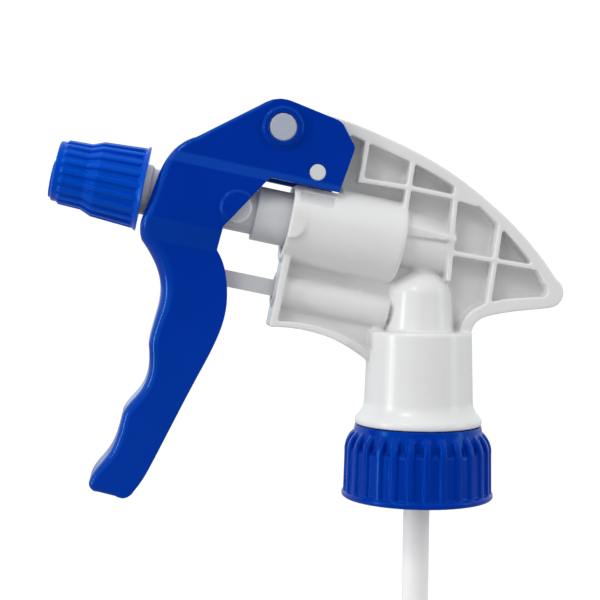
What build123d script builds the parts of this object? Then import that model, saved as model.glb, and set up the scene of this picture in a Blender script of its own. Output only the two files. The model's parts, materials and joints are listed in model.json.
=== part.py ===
"""Trigger sprayer head with a moving nozzle, for a 28 mm bottle neck.

Millimetres, +Z up. The origin is the centre of the screw closure's lower rim.
The nozzle points towards -X, the shroud's beak towards +X, and the whole head
is symmetric about the XZ plane. The pump (cylinder, piston and nozzle) lies on
one axis that rises towards the nozzle and crosses the neck axis at PUMP_Z.
"""

from math import atan2, cos, degrees, hypot, radians, sin
import os

from build123d import *

os.makedirs("parts", exist_ok=True)

# ---- driving dimensions -------------------------------------------------------------
PUMP_TILT = 11.0            # degrees the pump axis rises towards the nozzle
PUMP_Z = 58.6               # height where the pump axis crosses the neck axis
PIVOT = (-38.2, 19.9)       # trigger pivot in pump coordinates (along, above the axis)
TRUNNION_U = -44.7          # the piston's side pins, along the pump axis
FACE_U = -32.4              # front face of the cylinder
NECK_BORE = 13.9            # radius of the closure's threaded bore
CLOSURE_H = 17.0            # height of the closure
COLLAR_BASE = 17.15         # underside of the body's flange, above the closure
COLLAR_TOP = 39.2

# ---- body -----------------------------------------------------------------------------
SHROUD_HALF = 5.5           # half-width of the shroud's flange and ribs
WEB_HALF = 0.7              # half-thickness of the shroud's middle web
RIB = 1.15
BARREL_R = 9.7
BORE_R = 7.8
BARREL_END = -5.5
BORE_END = -8.0
CROWN_V = 8.1               # the barrel's top is cut flat at this height, near the front
VENT_V = -16.3              # vent cylinder's axis, below the pump axis
VENT_R = 3.9
VENT_BORE = 2.75
COLUMN_TOP = 53.2
SOCKET_R = 4.5              # socket for the intake seat, up the middle of the column
SOCKET_TOP = 36.0
RISER_R = 1.6               # passage from the intake valve up into the cylinder
SKIRT_R = 11.4              # snap skirt that carries the closure
LIP_R = 12.4

# ---- piston and nozzle ----------------------------------------------------------------
TUBE_R = 5.1                # front part of the piston's tube
SLEEVE_R = 6.3              # rear part, which enters the cylinder
SLEEVE_U = TRUNNION_U + 4.6
HEAD_U = (-29.0, -24.5)
PIN_R = 3.5
PIN_HALF = 7.15             # the pins' ends, from the middle plane
CAP_FACE = -86.3
CAP_REAR = -66.1
SPIGOT_R = 5.8
RUNNING = 0.05              # radial clearance of a running fit
STATIC = 0.02               # radial clearance of a pushed-in fit

# ---- trigger --------------------------------------------------------------------------
CHEEK = 7.8                 # half-width of the trigger
SADDLE = 9.0                # half-width of its proud middle part
BOSS_RISE = 0.8             # how far the rings and domes stand proud of it
SKIN = 1.6
AXLE_R = 3.2
STUD_AT = (-28.4, 11.6)     # stud in the cheeks, along and above the pump axis
STUD_R = 1.85

# ---- frames ---------------------------------------------------------------------------
COS, SIN = cos(radians(PUMP_TILT)), sin(radians(PUMP_TILT))
PUMP = Plane(origin=(0, 0, PUMP_Z), x_dir=(COS, 0, -SIN), z_dir=(0, -1, 0))
PUMP_AXIS = Axis((0, 0, PUMP_Z), (COS, 0, -SIN))
SIDE = Plane.XZ


def across(u, v=0.0):
    """Plane square to the pump axis: local x is Y, local y is up, z is to the rear."""
    return Plane(origin=PUMP.from_local_coords((u, v, 0)), x_dir=(0, 1, 0), z_dir=(COS, 0, -SIN))


def world(u, v):
    """(X, Z) of a point given in pump coordinates."""
    return u * COS + v * SIN, PUMP_Z - u * SIN + v * COS


def outline(plane, *points):
    """A face with straight sides."""
    with BuildSketch(plane) as face:
        with BuildLine():
            Polyline(*points, close=True)
        make_face()
    return face.sketch


def disc(plane, radius):
    with BuildSketch(plane) as face:
        Circle(radius)
    return face.sketch


def ring(plane, outer, inner):
    with BuildSketch(plane) as face:
        Circle(outer)
        Circle(inner, mode=Mode.SUBTRACT)
    return face.sketch


def strip(plane, start, end, width):
    """A bar of the given width between two points of a plane."""
    (x0, y0), (x1, y1) = start, end
    with BuildSketch(plane) as face:
        with Locations(((x0 + x1) / 2, (y0 + y1) / 2)):
            Rectangle(hypot(x1 - x0, y1 - y0), width, rotation=degrees(atan2(y1 - y0, x1 - x0)))
    return face.sketch


def coil(radius, wire, pitch, length):
    """A spring of round wire standing on the XY plane."""
    with BuildPart(mode=Mode.PRIVATE) as spring:
        with BuildLine(Plane.XY.offset(wire / 2)) as centre_line:
            Helix(pitch=pitch, height=length - wire, radius=radius)
        with BuildSketch(Plane(origin=centre_line.line @ 0, z_dir=centre_line.line % 0)) as section:
            Circle(wire / 2)
        sweep(section.sketch, path=centre_line.line, is_frenet=True)
    return spring.part


# ---- body: shroud, barrel, vent cylinder, column and collar in one moulding --------------
FRONT_TOP = world(FACE_U, CROWN_V)
FRONT_STEP = -5.0           # below this height the front edge stands back a little
FRONT_FOOT = world(FACE_U + 0.6, -25.0)
PIVOT_XZ = world(*PIVOT)
ARM_R = 4.6
ARM_HALF = 5.9              # half-width of the arm where the trigger's cheeks run on it

with BuildPart() as body:
    with BuildSketch(SIDE):
        with BuildLine():
            arm_top = (PIVOT_XZ[0] + 1.0, PIVOT_XZ[1] + ARM_R - 0.1)
            spine = Spline(
                arm_top, (-20.4, 87.9), (-7.7, 83.1), (3.1, 77.8), (13.7, 70.5), (23.3, 61.8), (31.4, 51.7)
            )
            ThreePointArc(spine @ 1, (32.8, 47.2), (30.1, 45.1))
            Spline((30.1, 45.1), (23.6, 44.4), (16.9, 43.4), (12.9, 42.0), (11.2, 39.0))
            Polyline((11.2, 39.0), (11.2, 31.0), (-11.2, 31.0), (-12.4, 32.1))
            Spline((-12.4, 32.1), (-18.3, 36.0), (-24.3, 38.5), (-29.0, 39.6), FRONT_FOOT)
            arm_foot = world(FACE_U + 2.0, 10.2)
            Polyline(
                FRONT_FOOT, world(FACE_U + 0.6, FRONT_STEP), world(FACE_U, FRONT_STEP), FRONT_TOP,
                world(FACE_U + 2.0, CROWN_V), arm_foot, (-38.0, 83.6),
            )
            ThreePointArc((-38.0, 83.6), (PIVOT_XZ[0] - 3.6, PIVOT_XZ[1] + 2.9), arm_top)
        make_face()
    extrude(amount=SHROUD_HALF, both=True)

    # Hollows on both sides of the web, inside the flange.
    with BuildSketch(SIDE, mode=Mode.PRIVATE) as hollow:
        with BuildLine():
            inner = Spline(
                (-18.0, 84.3), (-7.7, 80.1), (3.0, 75.1), (11.9, 69.2), (19.2, 62.4), (25.1, 55.9),
                (28.6, 50.6),
            )
            ThreePointArc(inner @ 1, (29.3, 48.6), (27.4, 47.6))
            Spline((27.4, 47.6), (22.1, 47.3), (16.1, 46.3), (10.7, 43.7), (8.6, 39.7))
            Polyline((8.6, 39.7), (8.6, 34.6), (-12.6, 34.6))
            Spline((-12.6, 34.6), (-18.3, 38.0), (-25.3, 40.5), world(FACE_U + 2.2, -23.4))
            front_foot = world(FACE_U + 2.2, -23.4)
            Polyline(front_foot, world(FACE_U + 2.2, CROWN_V - 1.2), (-20.5, 71.0), (-18.0, 84.3))
        make_face()
    for side in (1, -1):
        start = hollow.sketch.moved(Location((0, side * WEB_HALF, 0)))
        extrude(start, amount=-side * SHROUD_HALF, mode=Mode.SUBTRACT)

    # The flange below the vent cylinder narrows as it runs into the collar.
    for side in (1, -1):
        trim = outline(
            Plane.XY.offset(29.0), (-18.0, side * SHROUD_HALF), (-12.0, side * 3.0), (-10.5, side * 3.0),
            (-10.5, side * (SHROUD_HALF + 1.0)), (-18.0, side * (SHROUD_HALF + 1.0)),
        )
        extrude(trim, amount=COLLAR_TOP - 29.5, mode=Mode.SUBTRACT)

    # Stiffening ribs, flush with the flange.
    ribs = (
        ((-13.9, 83.0), (-15.4, 73.4)),
        ((-15.9, 74.1), (-4.7, 72.6)),
        ((-4.7, 72.6), (6.7, 70.5)),
        ((6.7, 70.5), (12.4, 68.9)),
        ((-3.1, 79.2), (-4.8, 67.5)),
        ((7.3, 73.6), (6.4, 64.0)),
        ((6.4, 64.0), (5.6, 51.0)),
        ((17.8, 64.6), (15.2, 45.6)),
        ((6.2, 57.6), (27.2, 54.3)),
    )
    for start, end in ribs:
        extrude(strip(SIDE, start, end, RIB), amount=SHROUD_HALF, both=True)
    gusset = outline(SIDE, (6.9, 74.5), (14.0, 69.4), (13.0, 68.7), (6.6, 70.4))
    extrude(gusset, amount=SHROUD_HALF, both=True)

    # Pump barrel. Near the front its crown is cut flat, with a sloping pocket on each side.
    revolve(
        outline(
            PUMP, (FACE_U, 0), (FACE_U, BARREL_R), (BARREL_END - 0.6, BARREL_R),
            (BARREL_END, BARREL_R - 0.6), (BARREL_END, 0),
        ),
        axis=PUMP_AXIS,
    )
    crown_end = FACE_U + 11.0
    extrude(
        outline(
            PUMP, (FACE_U - 1, CROWN_V), (crown_end, CROWN_V), (crown_end, BARREL_R + 0.3),
            (FACE_U + 2.0, BARREL_R + 0.3), (FACE_U + 2.0, 12.0), (FACE_U - 1, 12.0),
        ),
        amount=BARREL_R, both=True, mode=Mode.SUBTRACT,
    )
    for side in (1, -1):
        pocket = outline(
            across(FACE_U + 1.3), (side * 10.5, CROWN_V - 1.2), (side * 5.6, CROWN_V - 1.2),
            (side * 9.1, CROWN_V - 4.3), (side * 10.5, CROWN_V - 4.3),
        )
        extrude(pocket, amount=8.2, mode=Mode.SUBTRACT)

    # Half-round stops on the barrel's sides, where the piston's pins come to rest.
    with BuildSketch(PUMP, mode=Mode.PRIVATE) as stop:
        with Locations((FACE_U, -0.9)):
            Circle(3.6)
        with Locations((FACE_U - 5, 0)):
            Rectangle(10, 12, mode=Mode.SUBTRACT)
    extrude(stop.sketch, amount=BARREL_R + 0.35, both=True)

    # Vent cylinder below the barrel.
    extrude(disc(across(FACE_U, VENT_V), VENT_R), amount=-5.0 - FACE_U)

    # Elbow behind the barrel: a round passage under a sloping roof.
    extrude(disc(across(BARREL_END - 1.0), 5.2), amount=13.2)
    with BuildSketch(across(BARREL_END - 1.0)):
        Polygon((-5.8, 1.8), (-5.6, 4.5), (-1.3, 8.5), (1.3, 8.5), (5.6, 4.5), (5.8, 1.8), align=None)
    with BuildSketch(across(6.8)):
        Polygon((-5.7, 2.9), (-5.6, 3.7), (-1.3, 6.9), (1.3, 6.9), (5.6, 3.7), (5.7, 2.9), align=None)
    loft()

    # Column and collar around the neck axis.
    with BuildSketch(SIDE):
        with BuildLine():
            Polyline((0, COLLAR_BASE), (0, COLUMN_TOP), (1.6, COLUMN_TOP))
            column_edge = ThreePointArc((1.6, COLUMN_TOP), (5.3, COLUMN_TOP - 1.5), (7.3, COLUMN_TOP - 4.9))
            Polyline(column_edge @ 1, (8.2, COLLAR_TOP), (11.7, COLLAR_TOP))
            ThreePointArc((11.7, COLLAR_TOP), (12.1, COLLAR_TOP - 0.2), (12.3, COLLAR_TOP - 0.6))
            Line((12.3, COLLAR_TOP - 0.6), (12.8, 22.4))
            ThreePointArc((12.8, 22.4), (13.4, 20.5), (14.6, 19.0))
            ThreePointArc((14.6, 19.0), (14.9, 18.3), (14.7, COLLAR_BASE))
            Line((14.7, COLLAR_BASE), (0, COLLAR_BASE))
        make_face()
    revolve(axis=Axis.Z)
    revolve(
        outline(
            SIDE, (0, 12.2), (LIP_R, 12.2), (LIP_R, 14.0), (SKIRT_R, 14.7), (SKIRT_R, 18.0), (0, 18.0)
        ),
        axis=Axis.Z,
    )

    # Short neck that carries the riser passage from the column into the elbow.
    with BuildSketch(Plane.XY.offset(COLUMN_TOP - 2.0)):
        Circle(RISER_R + 1.1)
    extrude(amount=PUMP_Z - COLUMN_TOP + 2.0)

    # Pivot arm: thickened around the axle.
    with BuildSketch(SIDE):
        with Locations(PIVOT_XZ):
            Circle(ARM_R)
    extrude(amount=ARM_HALF, both=True)

    # Passages.
    extrude(disc(across(FACE_U - 1), BORE_R), amount=BORE_END - FACE_U + 1, mode=Mode.SUBTRACT)
    extrude(disc(across(BORE_END - 1), RISER_R), amount=1 - BORE_END, mode=Mode.SUBTRACT)
    extrude(disc(across(FACE_U - 1, VENT_V), VENT_BORE), amount=-7.5 - FACE_U + 1, mode=Mode.SUBTRACT)
    with BuildSketch(Plane.XY.offset(SOCKET_TOP - 1)):
        Circle(RISER_R)
    extrude(amount=PUMP_Z - SOCKET_TOP + 1, mode=Mode.SUBTRACT)
    with BuildSketch(Plane.XY.offset(SOCKET_TOP - 1)):
        Rectangle(6.4, 1.2)
        Rectangle(1.2, 6.4)
    extrude(amount=3.0, mode=Mode.SUBTRACT)
    with BuildSketch(Plane.XY):
        Circle(SOCKET_R)
    extrude(amount=SOCKET_TOP, mode=Mode.SUBTRACT)
    revolve(
        outline(
            SIDE, (0, 12.0), (10.2, 12.0), (10.2, 17.2), (11.1, 20.0), (10.9, 36.6), (6.4, 37.0),
            (6.0, 20.0), (0, 20.0),
        ),
        axis=Axis.Z, mode=Mode.SUBTRACT,
    )

    # Vent port, from the end of the vent cylinder down into the collar.
    with BuildSketch(Plane.XY.offset(COLLAR_TOP - 1)):
        with Locations((-10.0, 0)):
            Circle(1.7)
    extrude(amount=3.0)
    with BuildSketch(Plane.XY.offset(SOCKET_TOP - 1)):
        with Locations((-10.0, 0)):
            Circle(0.8)
    extrude(amount=9.0, mode=Mode.SUBTRACT)

    # Bore for the trigger's axle.
    with BuildSketch(SIDE):
        with Locations(PIVOT_XZ):
            Circle(AXLE_R + STATIC)
    extrude(amount=8.0, both=True, mode=Mode.SUBTRACT)
body.part.label = "body"
export_step(body.part, "parts/body.step")

# ---- pivot pin: fixed in the body's arm, carries both cheeks of the trigger -------------
with BuildPart() as pivot_pin:
    with BuildSketch(SIDE):
        with Locations(PIVOT_XZ):
            Circle(AXLE_R)
    extrude(amount=CHEEK + BOSS_RISE - 0.1, both=True)
    chamfer(pivot_pin.edges().filter_by(GeomType.CIRCLE), 0.3)
pivot_pin.part.label = "pivot_pin"
export_step(pivot_pin.part, "parts/pivot_pin.step")

# ---- trigger: a channel, open to the rear, with two cheeks ------------------------------
CHEEK_V = 8.15              # lower edge of the cheeks, just above the barrel's flat crown
NOTCH = world(-38.8, CHEEK_V)
HEEL = world(-22.6, CHEEK_V)
KNEE = (-47.0, 62.8)        # lower end of the slanted edge in front of the notch


def half_profile(skin):
    """Outer or inner half-width of the trigger's channel, by height above the pump axis."""
    cheek, saddle = CHEEK - skin, SADDLE - skin
    right = [(cheek, 40), (cheek, 9.6), (saddle, 7.3), (saddle, -5.9), (cheek, -10.7), (cheek, -90)]
    left = [(-y, v) for y, v in reversed(right)]
    return right + left


def front_edge(shift_x=0.0, shift_z=0.0):
    """The trigger's front, from the tip up over the finger grip to the top corner."""
    def at(x, z):
        return x + shift_x, z + shift_z

    Spline(
        at(-76.5, 4.8), at(-75.3, 7.3), at(-72.4, 10.9), at(-70.6, 14.5), at(-69.6, 18.1), at(-69.1, 20.3)
    )
    Spline(
        at(-69.1, 20.3), at(-68.2, 21.9), at(-65.3, 25.3), at(-63.6, 28.9), at(-63.2, 32.5), at(-63.4, 36.2)
    )
    Spline(
        at(-63.4, 36.2), at(-62.1, 41.6), at(-60.9, 47.0), at(-61.0, 50.6), at(-62.1, 54.2), at(-65.2, 59.5)
    )
    nose = ThreePointArc(at(-65.2, 59.5), at(-65.6, 62.4), at(-64.7, 65.6))
    Spline(nose @ 1, at(-62.3, 72.3), at(-59.6, 78.1), at(-53.1, 82.9))


with BuildPart() as trigger:
    with BuildSketch(SIDE):
        with BuildLine():
            front_edge()
            Line((-53.1, 82.9), (-38.5, 90.6))
            ThreePointArc((-38.5, 90.6), (-35.0, 91.8), (-31.5, 91.3))
            Line((-31.5, 91.3), (-21.4, 87.5))
            ThreePointArc((-21.4, 87.5), (-20.4, 86.9), (-19.6, 85.9))
            Line((-19.6, 85.9), (-17.6, 82.2))
            ThreePointArc((-17.6, 82.2), (-17.2, 81.2), (-17.4, 80.2))
            Polyline((-17.4, 80.2), HEEL, NOTCH, KNEE, (-48.3, 57.5))
            Spline(
                (-48.3, 57.5), (-47.1, 55.2), (-45.9, 49.0), (-46.1, 44.0), (-48.2, 37.2), (-52.8, 28.1),
                (-57.4, 19.1), (-62.0, 10.0), (-64.6, 5.3), (-66.4, 2.9),
            )
            ThreePointArc((-66.4, 2.9), (-67.4, 1.8), (-68.9, 1.3))
            Line((-68.9, 1.3), (-74.8, 2.8))
            ThreePointArc((-74.8, 2.8), (-76.1, 3.5), (-76.5, 4.8))
        make_face()
    extrude(amount=12.0, both=True)
    extrude(outline(across(-95.0), *half_profile(0.0)), amount=90.0, mode=Mode.INTERSECT)

    # Domes over the piston's pins, and rings around the axle.
    for side in (1, -1):
        dome_at = PUMP.from_local_coords((TRUNNION_U, 0, -side * SADDLE))
        with BuildSketch(Plane(origin=dome_at, x_dir=(1, 0, 0), z_dir=(0, side, 0))):
            Circle(3.75)
        extrude(amount=BOSS_RISE, taper=15)
    with BuildSketch(SIDE):
        with Locations(PIVOT_XZ):
            Circle(4.4)
    extrude(amount=CHEEK + BOSS_RISE, both=True)

    # Inside of the channel, which runs out to the rear and, behind the axle, to the top.
    with BuildSketch(SIDE, mode=Mode.PRIVATE) as inside:
        with BuildLine():
            front_edge(2.1)
            Polyline(
                (-51.0, 82.9), (-51.6, 81.9), (-39.0, 88.3), (-39.0, 96.0), (0, 96.0), (0, 1.0),
                (-65.8, 2.7), (-73.3, 5.0), (-74.4, 4.8),
            )
        make_face()
    with BuildPart(mode=Mode.PRIVATE) as core:
        extrude(inside.sketch, amount=12.0, both=True)
        extrude(outline(across(-95.0), *half_profile(SKIN)), amount=100.0, mode=Mode.INTERSECT)
    add(core.part, mode=Mode.SUBTRACT)

    # Slot in the front wall for the piston's tube, long enough for the trigger's swing.
    slot = outline(PUMP, (-72, -6.0), (-52, -6.0), (-52, 15.2), (-72, 15.2))
    extrude(slot, amount=6.0, both=True, mode=Mode.SUBTRACT)

    # Half-round sockets that push on the piston's pins.
    with BuildSketch(PUMP, mode=Mode.PRIVATE) as socket:
        with Locations((TRUNNION_U, 0)):
            Circle(5.8)
        with Locations((TRUNNION_U, 0)):
            SlotCenterPoint((0, 0), (0.3, 1.1), 2 * PIN_R + 0.5, mode=Mode.SUBTRACT)
        with Locations((TRUNNION_U + 5.5, 0)):
            Rectangle(10.0, 14.0, mode=Mode.SUBTRACT)
    for side in (1, -1):
        start = socket.sketch.moved(Location((0, side * 6.1, 0)))
        extrude(start, amount=-side * (SADDLE - SKIN - 6.0))

    # The domes and sockets end at the slanted edge, where the pins show.
    behind_edge = outline(SIDE, NOTCH, KNEE, (-48.3, 57.5), (-20.0, 57.5), HEEL)
    extrude(behind_edge, amount=12.0, both=True, mode=Mode.SUBTRACT)

    # Holes for the axle and the studs.
    with BuildSketch(SIDE):
        with Locations(PIVOT_XZ):
            Circle(AXLE_R + RUNNING)
        with Locations(world(*STUD_AT)):
            Circle(STUD_R + STATIC)
    extrude(amount=12.0, both=True, mode=Mode.SUBTRACT)
trigger.part.label = "trigger"
export_step(trigger.part, "parts/trigger.step")

# ---- studs: one pressed into each cheek, flush with its outside ----------------------------
stud_x, stud_z = world(*STUD_AT)
for label, side in (("stud_left", -1), ("stud_right", 1)):
    inner_end = Plane(origin=(stud_x, side * (CHEEK - SKIN), stud_z), x_dir=(1, 0, 0), z_dir=(0, side, 0))
    with BuildPart() as stud:
        extrude(disc(inner_end, STUD_R), amount=SKIN)
        chamfer(stud.edges().filter_by(GeomType.CIRCLE), 0.15)
    stud.part.label = label
    export_step(stud.part, f"parts/{label}.step")

# ---- piston: hollow tube with side pins, a head at the rear and the spigot in front ------
with BuildPart() as piston:
    revolve(
        outline(
            PUMP, (-84.0, 0), (-84.0, 4.9), (-83.4, 5.1), (-78.5, 5.1), (-78.5, SPIGOT_R), (-64.9, SPIGOT_R),
            (-64.4, TUBE_R), (SLEEVE_U, TUBE_R), (SLEEVE_U, SLEEVE_R), (HEAD_U[0] - 1.4, SLEEVE_R),
            (HEAD_U[0], 7.1), (HEAD_U[0] + 1.2, 7.1), (HEAD_U[0] + 1.2, 5.9), (HEAD_U[1], 5.9),
            (HEAD_U[1], 0),
        ),
        axis=PUMP_AXIS,
    )
    extrude(disc(PUMP, PIN_R).moved(Location(PUMP.x_dir * TRUNNION_U)), amount=PIN_HALF, both=True)
    pin_ends = piston.edges().filter_by(lambda edge: abs(abs(edge.center().Y) - PIN_HALF) < 0.01)
    chamfer(pin_ends, 0.3)
    revolve(
        outline(
            PUMP, (-90.0, 0), (-90.0, 3.2), (-71.0, 3.2), (-69.4, 1.4), (-66.0, 1.4), (-66.0, 2.2),
            (-36.0, 2.2), (-36.0, 4.6), (-20.0, 4.6), (-20.0, 0),
        ),
        axis=PUMP_AXIS, mode=Mode.SUBTRACT,
    )
piston.part.label = "piston"
export_step(piston.part, "parts/piston.step")

with BuildPart() as piston_seal:
    revolve(
        outline(
            PUMP, (HEAD_U[0] + 1.3, 5.92), (HEAD_U[0] + 1.3, 7.2), (HEAD_U[0] + 2.2, 7.3),
            (HEAD_U[1] + 0.6, BORE_R - RUNNING), (HEAD_U[1] + 1.0, BORE_R - RUNNING),
            (HEAD_U[1] + 1.0, BORE_R - 0.6), (HEAD_U[1] - 0.9, 6.7), (HEAD_U[1] - 0.9, 5.92),
        ),
        axis=PUMP_AXIS,
    )
piston_seal.part.label = "piston_seal"
export_step(piston_seal.part, "parts/piston_seal.step")

# ---- vent rod: rides on the piston behind the trigger and closes the vent cylinder --------
ROD_FRONT, ROD_REAR = -49.6, -20.0
ROD_LOW, ROD_HIGH = VENT_V - 1.75, VENT_V + 2.05
HOOK_REAR = -48.9
with BuildPart() as vent_rod:
    revolve(
        outline(
            PUMP, (ROD_FRONT, TUBE_R + STATIC), (ROD_FRONT, 5.9), (HOOK_REAR, 5.9),
            (HOOK_REAR, TUBE_R + STATIC),
        ),
        axis=PUMP_AXIS,
    )
    hook = outline(PUMP, (ROD_FRONT, -5.5), (HOOK_REAR, -5.5), (-47.6, ROD_LOW), (ROD_FRONT, ROD_LOW))
    extrude(hook, amount=2.3, both=True)
    rod = outline(
        PUMP, (ROD_FRONT, ROD_LOW), (ROD_REAR, ROD_LOW), (ROD_REAR, ROD_HIGH), (ROD_FRONT, ROD_HIGH)
    )
    extrude(rod, amount=1.7, both=True)
    extrude(disc(across(ROD_REAR, VENT_V), 1.5), amount=2.4)
    extrude(disc(across(ROD_REAR + 2.4, VENT_V), 2.1), amount=0.6)
vent_rod.part.label = "vent_rod"
export_step(vent_rod.part, "parts/vent_rod.step")

with BuildPart() as vent_seal:
    extrude(ring(across(ROD_REAR + 0.3, VENT_V), VENT_BORE - RUNNING, 1.5 + STATIC), amount=2.0)
vent_seal.part.label = "vent_seal"
export_step(vent_seal.part, "parts/vent_seal.step")

# ---- return spring, in the cylinder behind the piston ---------------------------------------
SPRING_FROM, SPRING_TO = -36.0, BORE_END
with BuildPart() as return_spring:
    add(coil(3.9, 0.9, 3.2, SPRING_TO - SPRING_FROM).moved(across(SPRING_FROM).location))
return_spring.part.label = "return_spring"
export_step(return_spring.part, "parts/return_spring.step")

# ---- discharge valve and swirl insert, in the front of the piston's tube --------------------
DISCHARGE_U = -70.33
with BuildPart() as discharge_ball:
    with Locations(PUMP.from_local_coords((DISCHARGE_U, 0, 0))):
        Sphere(1.6)
discharge_ball.part.label = "discharge_ball"
export_step(discharge_ball.part, "parts/discharge_ball.step")

with BuildPart() as discharge_spring:
    add(coil(1.15, 0.4, 1.2, 7.5).moved(across(-79.0).location))
discharge_spring.part.label = "discharge_spring"
export_step(discharge_spring.part, "parts/discharge_spring.step")

with BuildPart() as swirl_insert:
    revolve(
        outline(
            PUMP, (-84.3, 0), (-84.3, 2.6), (-84.0, 3.18), (-79.05, 3.18), (-79.05, 0.9), (-82.6, 0.9),
            (-82.6, 0),
        ),
        axis=PUMP_AXIS,
    )
    for turn in range(4):
        groove = outline(PUMP, (-83.9, 2.3), (-83.9, 3.6), (-79.0, 3.6), (-79.0, 2.3))
        extrude(groove.rotate(PUMP_AXIS, 90 * turn), amount=0.4, both=True, mode=Mode.SUBTRACT)
swirl_insert.part.label = "swirl_insert"
export_step(swirl_insert.part, "parts/swirl_insert.step")

# ---- nozzle cap: fluted, screws along the spigot; its seal ring moves out with it -----------
NOZZLE_FLUTES = 20
with BuildPart() as flute:
    extrude(
        outline(
            PUMP, (CAP_FACE + 1.3, 5.0), (CAP_FACE + 1.3, 6.8), (CAP_FACE + 1.9, 7.4), (-79.2, 7.6),
            (-76.7, 8.65), (-67.2, 9.3), (-67.2, 5.0),
        ),
        amount=0.65, both=True,
    )
    outer_edges = flute.edges().filter_by(
        lambda edge: abs(edge.center().Y) > 0.6 and PUMP.to_local_coords(edge.center()).Y > 6.9
    )
    fillet(outer_edges, 0.35)

with BuildPart() as nozzle_cap:
    revolve(
        outline(
            PUMP, (CAP_FACE, 0), (CAP_FACE, 6.6), (CAP_FACE + 0.3, 6.9), (CAP_FACE + 1.6, 6.9),
            (-79.2, 6.95), (-76.7, 7.95), (-67.5, 8.5), (-67.1, 9.25), (CAP_REAR, 9.9), (CAP_REAR, 0),
        ),
        axis=PUMP_AXIS,
    )
    for turn in range(NOZZLE_FLUTES):
        add(flute.part.rotate(PUMP_AXIS, 360 * turn / NOZZLE_FLUTES))
    extrude(disc(across(CAP_FACE, -2.0), 4.2), amount=-0.6)
    revolve(
        outline(
            PUMP, (-60.0, 0), (-60.0, SPIGOT_R + RUNNING), (-79.0, SPIGOT_R + RUNNING), (-79.0, 5.3),
            (-85.2, 5.3), (-85.2, 1.8), (-86.3, 0.5), (-90.0, 0.5), (-90.0, 0),
        ),
        axis=PUMP_AXIS, mode=Mode.SUBTRACT,
    )
nozzle_cap.part.label = "nozzle_cap"
export_step(nozzle_cap.part, "parts/nozzle_cap.step")

with BuildPart() as nozzle_seal:
    revolve(
        outline(PUMP, (-85.1, 3.4), (-85.1, 5.28), (-84.5, 5.28), (-84.5, 3.4)),
        axis=PUMP_AXIS,
    )
nozzle_seal.part.label = "nozzle_seal"
export_step(nozzle_seal.part, "parts/nozzle_seal.step")

# ---- intake seat, with its ball, the neck gasket and the dip tube --------------------------
TUBE_OUT, TUBE_IN = 3.1, 2.15
TUBE_TOP = 25.0
TUBE_LENGTH = 235.0
SEAT_Z = 30.0
BALL_R = 2.4
with BuildPart() as intake_seat:
    revolve(
        outline(
            SIDE, (0, 12.4), (10.15, 12.4), (10.15, 14.0), (5.6, 14.2), (SOCKET_R - STATIC, 15.6),
            (SOCKET_R - STATIC, SEAT_Z + 1.6), (3.4, SEAT_Z + 1.6), (2.9, SEAT_Z + 1.0), (1.5, SEAT_Z - 0.6),
            (0, SEAT_Z - 0.6),
        ),
        axis=Axis.Z,
    )
    revolve(
        outline(
            SIDE, (0, 12.0), (3.5, 12.0), (TUBE_OUT + STATIC, 13.2), (TUBE_OUT + STATIC, TUBE_TOP + STATIC),
            (1.5, TUBE_TOP + STATIC), (1.5, SEAT_Z), (0, SEAT_Z),
        ),
        axis=Axis.Z, mode=Mode.SUBTRACT,
    )
    with BuildSketch(Plane.XY.offset(12.0)):
        with PolarLocations(8.0, 4):
            Circle(0.8)
    extrude(amount=3.0, mode=Mode.SUBTRACT)
intake_seat.part.label = "intake_seat"
export_step(intake_seat.part, "parts/intake_seat.step")

with BuildPart() as intake_ball:
    with Locations((0, 0, SEAT_Z + 1.36)):
        Sphere(BALL_R)
intake_ball.part.label = "intake_ball"
export_step(intake_ball.part, "parts/intake_ball.step")

with BuildPart() as neck_gasket:
    with BuildSketch(Plane.XY.offset(10.7)):
        Circle(13.3)
        Circle(8.9, mode=Mode.SUBTRACT)
    extrude(amount=1.5)
neck_gasket.part.label = "neck_gasket"
export_step(neck_gasket.part, "parts/neck_gasket.step")

with BuildPart() as dip_tube:
    with BuildSketch(Plane.XY.offset(TUBE_TOP)):
        Circle(TUBE_OUT)
        Circle(TUBE_IN, mode=Mode.SUBTRACT)
    extrude(amount=-TUBE_LENGTH)
    foot = TUBE_TOP - TUBE_LENGTH
    extrude(outline(SIDE, (-4, foot), (4, foot), (4, foot + 5.5)), amount=5.0, both=True, mode=Mode.SUBTRACT)
dip_tube.part.label = "dip_tube"
export_step(dip_tube.part, "parts/dip_tube.step")

# ---- closure: ribbed screw cap, free to turn on the skirt ------------------------------------
CLOSURE_RIBS = 28
RIB_TURN = 8.8              # degrees from +X to the first rib
with BuildPart() as grip_rib:
    with BuildSketch(SIDE):
        with BuildLine():
            Polyline((14.6, 15.3), (14.6, 1.3), (17.5, 1.3), (17.3, 10.6))
            ThreePointArc((17.3, 10.6), (16.6, 13.9), (14.9, 15.7))
            Line((14.9, 15.7), (14.6, 15.3))
        make_face()
    extrude(amount=0.85, both=True)
    outer_edges = grip_rib.edges().filter_by(
        lambda edge: abs(edge.center().Y) > 0.8 and edge.center().X > 15.0
    )
    fillet(outer_edges, 0.5)

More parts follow.
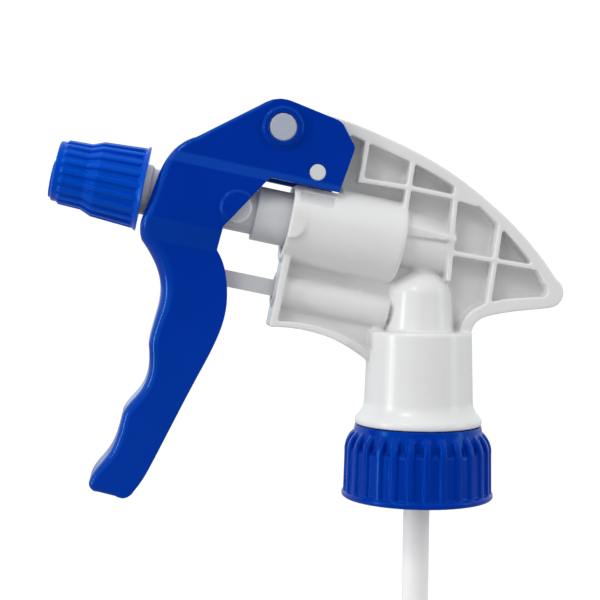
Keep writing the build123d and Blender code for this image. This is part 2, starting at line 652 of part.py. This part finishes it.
with BuildPart() as closure:
    revolve(
        outline(
            SIDE, (0, 0), (17.5, 0), (17.85, 0.4), (17.85, 1.0), (17.6, 1.4), (16.9, 1.5), (16.6, 11.2),
            (16.2, 11.7), (15.6, 11.9), (15.15, 15.2), (14.9, CLOSURE_H), (0, CLOSURE_H),
        ),
        axis=Axis.Z,
    )
    for turn in range(CLOSURE_RIBS):
        add(grip_rib.part.rotate(Axis.Z, RIB_TURN + 360 * turn / CLOSURE_RIBS))
    revolve(
        outline(
            SIDE, (0, -1), (NECK_BORE, -1), (NECK_BORE, 10.5), (13.6, 10.8), (13.6, 15.0),
            (SKIRT_R + 0.3, 15.0), (SKIRT_R + 0.3, 20.0), (0, 20.0),
        ),
        axis=Axis.Z, mode=Mode.SUBTRACT,
    )
closure.part.label = "closure"
export_step(closure.part, "parts/closure.step")
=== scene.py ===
"""Looks for the trigger sprayer head: materials, soft edges, small moulded details, light and camera.

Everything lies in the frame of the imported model: +Z up the neck axis, -X towards the
nozzle, the middle plane at Y = 0. The materials, the stage and the camera are in metres.
The sizes of the head's own shapes are in millimetres, and MM turns them into metres.
"""
import json
from math import cos, pi, radians, sin

import bpy
import numpy as np
from mathutils import Matrix, Vector
from mathutils.bvhtree import BVHTree

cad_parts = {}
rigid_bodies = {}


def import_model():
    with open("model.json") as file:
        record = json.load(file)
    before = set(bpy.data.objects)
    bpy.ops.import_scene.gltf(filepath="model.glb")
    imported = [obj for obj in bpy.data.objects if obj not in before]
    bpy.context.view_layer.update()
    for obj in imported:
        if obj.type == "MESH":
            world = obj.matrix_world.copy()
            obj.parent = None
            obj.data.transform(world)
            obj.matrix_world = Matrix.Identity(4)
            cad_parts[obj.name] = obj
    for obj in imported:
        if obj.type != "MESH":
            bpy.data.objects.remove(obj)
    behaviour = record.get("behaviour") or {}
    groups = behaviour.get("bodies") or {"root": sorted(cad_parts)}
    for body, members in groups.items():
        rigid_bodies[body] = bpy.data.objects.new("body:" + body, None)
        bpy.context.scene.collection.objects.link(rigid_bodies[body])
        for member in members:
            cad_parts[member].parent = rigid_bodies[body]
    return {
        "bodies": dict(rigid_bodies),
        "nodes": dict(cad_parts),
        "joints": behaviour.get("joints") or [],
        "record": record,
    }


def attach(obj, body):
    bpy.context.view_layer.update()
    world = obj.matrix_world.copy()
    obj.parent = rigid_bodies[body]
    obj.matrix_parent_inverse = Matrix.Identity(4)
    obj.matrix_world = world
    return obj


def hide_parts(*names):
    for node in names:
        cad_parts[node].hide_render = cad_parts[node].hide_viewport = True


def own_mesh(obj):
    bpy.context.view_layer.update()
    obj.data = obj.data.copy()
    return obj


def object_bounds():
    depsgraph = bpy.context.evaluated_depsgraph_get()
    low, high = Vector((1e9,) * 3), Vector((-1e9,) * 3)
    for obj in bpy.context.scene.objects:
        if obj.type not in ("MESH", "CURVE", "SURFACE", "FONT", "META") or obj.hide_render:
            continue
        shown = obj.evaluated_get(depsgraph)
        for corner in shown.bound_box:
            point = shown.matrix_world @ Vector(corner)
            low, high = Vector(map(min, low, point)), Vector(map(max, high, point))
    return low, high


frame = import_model()
cad_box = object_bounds()
MM = 0.001

# ---- places, from the frame ------------------------------------------------------------------
JOINTS = {joint["name"]: joint for joint in frame["joints"]}
TO_REAR = Vector(JOINTS["piston_slide"]["axis"]).normalized()
TO_TOP = Vector((-TO_REAR.z, 0, TO_REAR.x))
AXIS_POINT = Vector((0, 0, 0.0586))      # where the pump's axis crosses the neck's axis


# ---- materials -------------------------------------------------------------------------------
PLASTIC_IOR = 1.49
CLOUD_SCALE = 90.0       # blotches of about 10 mm
GLOSS_SCALE = 400.0      # patches of a few millimetres
SKIN_SCALE = 1500.0      # grain finer than a millimetre
SKIN_DEPTH = 0.0002
SCATTER_DEPTH = 0.0012   # how far light spreads under the surface


def noise(nodes, links, place, scale, detail):
    """A noise texture fixed to the object."""
    texture = nodes.new("ShaderNodeTexNoise")
    texture.inputs["Scale"].default_value = scale
    texture.inputs["Detail"].default_value = detail
    links.new(place.outputs["Object"], texture.inputs["Vector"])
    return texture


def moulded(name, colour, roughness, mottle=0.05, bump=0.008, scatter=0.0, tint=(1, 1, 1), ior=PLASTIC_IOR):
    """A moulded plastic: slow cloudy colour changes, uneven gloss and a very fine skin."""
    material = bpy.data.materials.new(name)
    material.use_nodes = True
    nodes, links = material.node_tree.nodes, material.node_tree.links
    nodes.clear()
    out = nodes.new("ShaderNodeOutputMaterial")
    shader = nodes.new("ShaderNodeBsdfPrincipled")
    links.new(shader.outputs["BSDF"], out.inputs["Surface"])
    place = nodes.new("ShaderNodeTexCoord")

    cloud = noise(nodes, links, place, CLOUD_SCALE, 3.0)
    ramp = nodes.new("ShaderNodeValToRGB")
    ramp.color_ramp.elements[0].position = 0.25
    ramp.color_ramp.elements[1].position = 0.75
    ramp.color_ramp.elements[0].color = (*[c * (1 - mottle) for c in colour], 1)
    ramp.color_ramp.elements[1].color = (*[min(1, c * (1 + mottle)) for c in colour], 1)
    links.new(cloud.outputs["Fac"], ramp.inputs["Fac"])
    links.new(ramp.outputs["Color"], shader.inputs["Base Color"])

    gloss = noise(nodes, links, place, GLOSS_SCALE, 4.0)
    spread = nodes.new("ShaderNodeMapRange")
    spread.inputs["To Min"].default_value = roughness * 0.92
    spread.inputs["To Max"].default_value = roughness * 1.1
    links.new(gloss.outputs["Fac"], spread.inputs["Value"])
    links.new(spread.outputs["Result"], shader.inputs["Roughness"])

    skin = noise(nodes, links, place, SKIN_SCALE, 2.0)
    relief = nodes.new("ShaderNodeBump")
    relief.inputs["Strength"].default_value = bump
    relief.inputs["Distance"].default_value = SKIN_DEPTH
    links.new(skin.outputs["Fac"], relief.inputs["Height"])
    links.new(relief.outputs["Normal"], shader.inputs["Normal"])

    shader.inputs["Subsurface Weight"].default_value = scatter
    shader.inputs["Subsurface Radius"].default_value = (1.0, 1.0, 1.0)
    shader.inputs["Subsurface Scale"].default_value = SCATTER_DEPTH
    shader.inputs["Specular Tint"].default_value = (*tint, 1)
    shader.inputs["IOR"].default_value = ior
    return material


def metal(name, colour, roughness):
    """Bright spring or ball steel."""
    material = moulded(name, colour, roughness, mottle=0.03, bump=0.01)
    material.node_tree.nodes["Principled BSDF"].inputs["Metallic"].default_value = 1.0
    return material


WHITE = (0.76, 0.76, 0.755)
BLUE = (0.0, 0.027, 0.33)
BRIGHTER_BLUE = (0.0, 0.056, 0.50)
BLUE_GLOSS = (0.03, 0.5, 1.0)
TRIGGER_GLOSS = (0.1, 0.6, 1.0)
MADE = {
    "white_shell": moulded("white_shell", WHITE, 0.26, mottle=0.015, scatter=0.15),
    # The pivot pin is white plastic painted a dim bluish grey: painted shade from the recess in the
    # trigger's ring and a painted blue reflection from the trigger around it.
    "white_pin": moulded("white_pin", (0.40, 0.44, 0.53), 0.3, mottle=0.02, scatter=0.1),
    # The piston is white plastic painted a little darker and cooler than the shell: painted shade with a
    # blue cast, where it sits between the nozzle and the trigger.
    "white_piston": moulded("white_piston", (0.67, 0.68, 0.70), 0.28, mottle=0.02, scatter=0.15),
    "valve_white": moulded("valve_white", (0.72, 0.73, 0.74), 0.4, mottle=0.02, scatter=0.2),
    "natural_tube": moulded("natural_tube", (0.92, 0.92, 0.91), 0.25, mottle=0.03, scatter=0.5),
    "blue_trigger": moulded("blue_trigger", BLUE, 0.18, mottle=0.06, tint=TRIGGER_GLOSS, ior=1.46),
    "blue_nozzle": moulded("blue_nozzle", BRIGHTER_BLUE, 0.2, mottle=0.06, tint=BLUE_GLOSS, ior=1.4),
    "blue_closure": moulded("blue_closure", BLUE, 0.2, mottle=0.06, tint=BLUE_GLOSS, ior=1.35),
    "seal_rubber": moulded("seal_rubber", (0.03, 0.03, 0.033), 0.6, mottle=0.1),
    "gasket_foam": moulded("gasket_foam", (0.6, 0.6, 0.58), 0.8, mottle=0.05, bump=0.3),
    "spring_steel": metal("spring_steel", (0.6, 0.6, 0.61), 0.25),
    "ball_steel": metal("ball_steel", (0.7, 0.7, 0.71), 0.12),
}
SLOT = {part["node"]: part["material_slot"] for part in frame["record"]["subparts"]}
FINISH = {node: MADE[slot] for node, slot in SLOT.items()}
for node, material in FINISH.items():
    mesh = frame["nodes"][node].data
    mesh.materials.clear()
    mesh.materials.append(material)


# ---- soft edges on the moulded parts ---------------------------------------------------------
SOFTENED = {            # node: spacing of the fine mesh, rounds of smoothing
    "body": (0.3, 4),
    "nozzle_cap": (0.16, 3),
    "closure": (0.2, 3),
    "pivot_pin": (0.15, 3),
    "piston": (0.2, 3),
}


def smoothed(piece, rounds):
    """Evens the surface out a little, by a number of rounds."""
    smooth = piece.modifiers.new("smooth", "SMOOTH")
    smooth.factor = 0.5
    smooth.iterations = rounds


def soften(piece, voxel, rounds):
    """Rounds every edge a little, as a mould leaves it: a fine even mesh, then smoothing."""
    fine = piece.modifiers.new("fine", "REMESH")
    fine.mode = "VOXEL"
    fine.voxel_size = voxel * MM
    fine.use_smooth_shade = True
    smoothed(piece, rounds)


def built(piece):
    """The piece's mesh with its modifiers applied."""
    bpy.context.view_layer.update()
    graph = bpy.context.evaluated_depsgraph_get()
    return bpy.data.meshes.new_from_object(piece.evaluated_get(graph))


def body_of(node):
    """The body that a CAD node moves with."""
    parent = frame["nodes"][node].parent
    return next(body for body, empty in frame["bodies"].items() if empty is parent)


def stand_in(node, name, mesh):
    """A new piece that takes a CAD node's place, on the same body and with the same finish."""
    piece = bpy.data.objects.new(name, mesh)
    bpy.context.scene.collection.objects.link(piece)
    mesh.materials.clear()
    mesh.materials.append(FINISH[node])
    for polygon in mesh.polygons:
        polygon.use_smooth = True
    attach(piece, body_of(node))
    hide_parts(node)
    return piece


# ---- the trigger -----------------------------------------------------------------------------
FRONT_LOW = 1.7         # heights between which the trigger's front edge is found
FRONT_HIGH = 91.4
FRONT_SIDE = -7.0       # just inside the cheek's outer face
FRONT_STEP = 0.5
IN_FRONT = -200.0       # well in front of the trigger
TRIGGER_VOXEL = 0.2
SURFACE_BAND = 0.5      # only points this near to the outer surfaces are moved
HALF_WIDTHS = (         # height above the pump's axis, the trigger's half-width there
    (-10.7, 7.8),
    (-5.9, 9.0),
    (7.3, 9.0),
    (9.6, 7.8),
)
ROUNDING = (            # height, radius of the front edge's rounding there
    (0, 1.0),
    (3, 1.4),
    (10, 2.2),
    (40, 2.6),
    (46, 3.4),
    (56, 3.4),
    (62, 2.4),
    (74, 2.2),
    (84, 0.9),
)


def along_table(values, table):
    """Each value looked up in a table of (value, result) pairs, in straight lines between them."""
    places, results = zip(*table)
    return np.interp(values, places, results)


def front_line(node):
    """Points (x, z) up the front of a node, found by looking along +X near one cheek."""
    tree = BVHTree.FromPolygons(
        [vertex.co.copy() for vertex in node.data.vertices],
        [tuple(polygon.vertices) for polygon in node.data.polygons],
    )
    points = []
    steps = int((FRONT_HIGH - FRONT_LOW) / FRONT_STEP)
    for step in range(steps + 1):
        z = FRONT_LOW + (FRONT_HIGH - FRONT_LOW) * step / steps
        hit = tree.ray_cast(Vector((IN_FRONT, FRONT_SIDE, z)) * MM, Vector((1, 0, 0)))[0]
        if hit is not None:
            points.append((hit.x / MM, z))
    return np.array(points)


def distance_to_line(points, line):
    """Shortest distance from each 2-D point to a polyline."""
    best = np.full(len(points), 1e9)
    for start, end in zip(line[:-1], line[1:]):
        along = end - start
        t = np.clip(((points - start) @ along) / (along @ along + 1e-12), 0, 1)
        best = np.minimum(best, np.hypot(*(points - (start + t[:, None] * along)).T))
    return best


def ways_in(line):
    """For each piece of the front line, its middle and the direction inwards, square to it."""
    middle = (line[:-1] + line[1:]) / 2
    along = line[1:] - line[:-1]
    normal = np.stack([along[:, 1], -along[:, 0]], 1)
    normal /= np.linalg.norm(normal, axis=1)[:, None]
    normal *= np.where(normal[:, 0] > 0, 1, -1)[:, None]
    return middle, normal


def round_front(co, line):
    """Moves the points at the corners between the front and the two sides onto rounded edges."""
    inward = distance_to_line(co[:, [0, 2]], line)
    height = (co[:, 0] - AXIS_POINT.x / MM) * TO_TOP.x + (co[:, 2] - AXIS_POINT.z / MM) * TO_TOP.z
    sideways = along_table(height, HALF_WIDTHS) - np.abs(co[:, 1])
    radius = along_table(co[:, 2], ROUNDING)
    outside = (inward < radius) & (sideways < radius)
    outside &= np.minimum(inward, np.abs(sideways)) < SURFACE_BAND
    back, side = radius - inward, radius - np.maximum(sideways, 0)
    reach = np.hypot(back, side)
    outside &= reach > radius
    middle, normal = ways_in(line)
    for index in np.nonzero(outside)[0]:
        near = np.argmin(np.hypot(*(middle - co[index, [0, 2]]).T))
        shrink = 1 - radius[index] / reach[index]
        move = back[index] * shrink
        co[index, 0] += normal[near, 0] * move
        co[index, 2] += normal[near, 1] * move
        co[index, 1] -= np.sign(co[index, 1]) * side[index] * shrink


def build_trigger():
    """The trigger with well rounded front edges, made from a fine copy of the CAD mesh."""
    node = frame["nodes"]["trigger"]
    draft = bpy.data.objects.new("trigger_draft", node.data.copy())
    bpy.context.scene.collection.objects.link(draft)
    soften(draft, TRIGGER_VOXEL, 1)
    mesh = built(draft)
    bpy.data.objects.remove(draft)

    co = np.array([vertex.co for vertex in mesh.vertices]) / MM
    round_front(co, front_line(node))
    mesh.vertices.foreach_set("co", (co * MM).ravel())
    mesh.update()
    smoothed(stand_in("trigger", "trigger_shell", mesh), 3)


# ---- the springs, and the closure's thread ---------------------------------------------------
SPRINGS = (     # node, joint, its fixed end along the pump's axis, the joint's travel, its length at rest
    ("return_spring", "piston_slide", -8.0, 8.6, 28.0),
    ("discharge_spring", "discharge_lift", -79.0, 1.2, 7.5),
)
THREAD_WALL = 14.2      # radius at the closure's wall
THREAD_CREST = 13.05
THREAD_PITCH = 3.2
THREAD_TURNS = 1.6
THREAD_START = 1.8      # height of the first turn's middle
THREAD_FOOT = 1.1       # half the ridge's thickness at the wall
THREAD_TOP = 0.35       # and at its crest
RUN_OUT = 1 / 8         # share of the thread's length over which each end fades out
THREAD_STEPS = 160


def build_springs():
    """Copies of the two springs, each standing in for its CAD spring on the same body and with the same
    finish.
    """
    for node, joint, seat, stroke, length in SPRINGS:
        piece = stand_in(node, node + "_coil", frame["nodes"][node].data.copy())
        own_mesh(piece)


def build_thread():
    """A single-start screw thread inside the closure, its ends running out into the wall."""
    vertices, faces = [], []
    for step in range(THREAD_STEPS + 1):
        share = step / THREAD_STEPS
        angle = 2 * pi * THREAD_TURNS * share
        rise = min(1.0, share / RUN_OUT, (1 - share) / RUN_OUT)
        inner = THREAD_WALL - (THREAD_WALL - THREAD_CREST) * rise
        middle = THREAD_START + THREAD_PITCH * THREAD_TURNS * share
        section = (
            (THREAD_WALL, middle - THREAD_FOOT),
            (inner, middle - THREAD_TOP),
            (inner, middle + THREAD_TOP),
            (THREAD_WALL, middle + THREAD_FOOT),
        )
        for r, z in section:
            vertices.append((r * cos(angle) * MM, r * sin(angle) * MM, z * MM))
    for step in range(THREAD_STEPS):
        at = 4 * step
        for corner in range(4):
            following = (corner + 1) % 4
            faces.append((at + corner, at + following, at + 4 + following, at + 4 + corner))
    faces.append((3, 2, 1, 0))
    faces.append(tuple(4 * THREAD_STEPS + corner for corner in range(4)))
    mesh = bpy.data.meshes.new("closure_thread")
    mesh.from_pydata(vertices, [], faces)
    mesh.materials.append(FINISH["closure"])
    thread = bpy.data.objects.new("closure_thread", mesh)
    bpy.context.scene.collection.objects.link(thread)
    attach(thread, body_of("closure"))


# ---- stage, light and camera -----------------------------------------------------------------
SEEN_WHITE = 1.05           # a trace over 1, so that the backdrop is pure white
SKY = 1.02
SKY_DARK = 0.1
SHEEN = (0.78, 0.93, 1.0)   # the cool cast of what the gloss picks up
DARK_SIDE = (0, -1, 0)      # the dark studio behind the camera
DARK_SPREAD = 33.0          # degrees from its middle to where it ends
FLOOR_GREY = (0.45, 0.45, 0.455)
FLOOR_HALF = 4.0
FLOOR_GAP = 0.001           # the floor lies this far below the dip tube's end
LIT_POINT = (-0.02, 0, 0.05)
LIGHTS = (                  # name, place, size, watts
    ("left", (-0.85, -0.25, 0.1), (0.05, 0.5), 2.1),
    ("right", (0.8, -0.3, 0.2), (0.1, 0.5), 0.7),
    ("key", (-0.45, -0.55, 0.65), (0.2, 0.14), 1.3),
)
CAMERA_AIM = (-0.02845, 0, 0.04614)
CAMERA_DISTANCE = 0.303
CAMERA_AZIMUTH = -6.6       # degrees, like the two below
CAMERA_ELEVATION = 2.07
CAMERA_ROLL = 0.8
CAMERA_LENS = 78.0


def seen_white(material_or_world, shader, output):
    """Shows plain white to the camera and the given shader to everything else."""
    nodes, links = material_or_world.node_tree.nodes, material_or_world.node_tree.links
    ray = nodes.new("ShaderNodeLightPath")
    white = nodes.new("ShaderNodeBackground" if output.type == "OUTPUT_WORLD" else "ShaderNodeEmission")
    white.inputs["Color"].default_value = (1, 1, 1, 1)
    white.inputs["Strength"].default_value = SEEN_WHITE
    mix = nodes.new("ShaderNodeMixShader")
    links.new(ray.outputs["Is Camera Ray"], mix.inputs["Fac"])
    links.new(shader.outputs[0], mix.inputs[1])
    links.new(white.outputs[0], mix.inputs[2])
    links.new(mix.outputs[0], output.inputs["Surface"])


def build_world():
    """An even white sky, dark behind the camera and slightly cool in what the gloss picks up."""
    world = bpy.data.worlds.new("studio")
    bpy.context.scene.world = world
    world.use_nodes = True
    nodes = world.node_tree.nodes
    nodes.clear()
    links = world.node_tree.links
    where = nodes.new("ShaderNodeTexCoord")
    lobe = nodes.new("ShaderNodeVectorMath")
    lobe.operation = "DOT_PRODUCT"
    lobe.inputs[1].default_value = DARK_SIDE
    links.new(where.outputs["Generated"], lobe.inputs[0])
    brightness = nodes.new("ShaderNodeMapRange")
    brightness.interpolation_type = "SMOOTHSTEP"
    brightness.inputs["From Min"].default_value = cos(radians(DARK_SPREAD))
    brightness.inputs["From Max"].default_value = cos(radians(DARK_SPREAD / 3))
    brightness.inputs["To Min"].default_value = SKY
    brightness.inputs["To Max"].default_value = SKY_DARK
    links.new(lobe.outputs["Value"], brightness.inputs["Value"])
    sky = nodes.new("ShaderNodeBackground")
    ray = nodes.new("ShaderNodeLightPath")
    cast = nodes.new("ShaderNodeMix")
    cast.data_type = "RGBA"
    cast.inputs["A"].default_value = (1, 1, 1, 1)
    cast.inputs["B"].default_value = (*SHEEN, 1)
    links.new(ray.outputs["Is Glossy Ray"], cast.inputs["Factor"])
    links.new(cast.outputs["Result"], sky.inputs["Color"])
    links.new(brightness.outputs["Result"], sky.inputs["Strength"])
    seen_white(world, sky, nodes.new("ShaderNodeOutputWorld"))


def build_floor():
    """A plain pale floor under the dip tube's end."""
    low = cad_box[0].z - FLOOR_GAP
    mesh = bpy.data.meshes.new("floor")
    corners = ((-1, -1), (1, -1), (1, 1), (-1, 1))
    mesh.from_pydata([(x * FLOOR_HALF, y * FLOOR_HALF, low) for x, y in corners], [], [(0, 1, 2, 3)])
    floor = bpy.data.objects.new("floor", mesh)
    bpy.context.scene.collection.objects.link(floor)
    material = bpy.data.materials.new("floor_white")
    material.use_nodes = True
    nodes = material.node_tree.nodes
    nodes.clear()
    plain = nodes.new("ShaderNodeBsdfDiffuse")
    plain.inputs["Color"].default_value = (*FLOOR_GREY, 1)
    seen_white(material, plain, nodes.new("ShaderNodeOutputMaterial"))
    mesh.materials.append(material)


def area_light(name, place, size, power):
    """A white panel turned towards the head."""
    data = bpy.data.lights.new(name, "AREA")
    data.shape = "RECTANGLE"
    data.size, data.size_y = size
    data.energy = power
    light = bpy.data.objects.new(name, data)
    light.location = place
    facing = Vector(LIT_POINT) - Vector(place)
    light.rotation_euler = facing.to_track_quat("-Z", "Y").to_euler()
    bpy.context.scene.collection.objects.link(light)


def build_camera():
    """Aimed at the head's side from a little towards the nozzle and a trace above, hardly tilted."""
    azimuth, elevation = radians(CAMERA_AZIMUTH), radians(CAMERA_ELEVATION)
    back = Vector((sin(azimuth) * cos(elevation), -cos(azimuth) * cos(elevation), sin(elevation)))
    data = bpy.data.cameras.new("camera")
    data.sensor_width = 36.0
    data.lens = CAMERA_LENS
    data.clip_start = 0.01
    data.clip_end = 20.0
    camera = bpy.data.objects.new("camera", data)
    camera.rotation_mode = "QUATERNION"
    turn = (-back).to_track_quat("-Z", "Y")
    camera.rotation_quaternion = turn @ Matrix.Rotation(radians(CAMERA_ROLL), 4, "Z").to_quaternion()
    camera.location = Vector(CAMERA_AIM) + back * CAMERA_DISTANCE
    bpy.context.scene.collection.objects.link(camera)
    bpy.context.scene.camera = camera


bpy.context.scene.view_settings.view_transform = "Standard"
build_world()
build_floor()
for name, place, size, power in LIGHTS:
    area_light(name, place, size, power)
build_camera()

for node, (voxel, rounds) in SOFTENED.items():
    soften(frame["nodes"][node], voxel, rounds)
build_trigger()
build_springs()
build_thread()
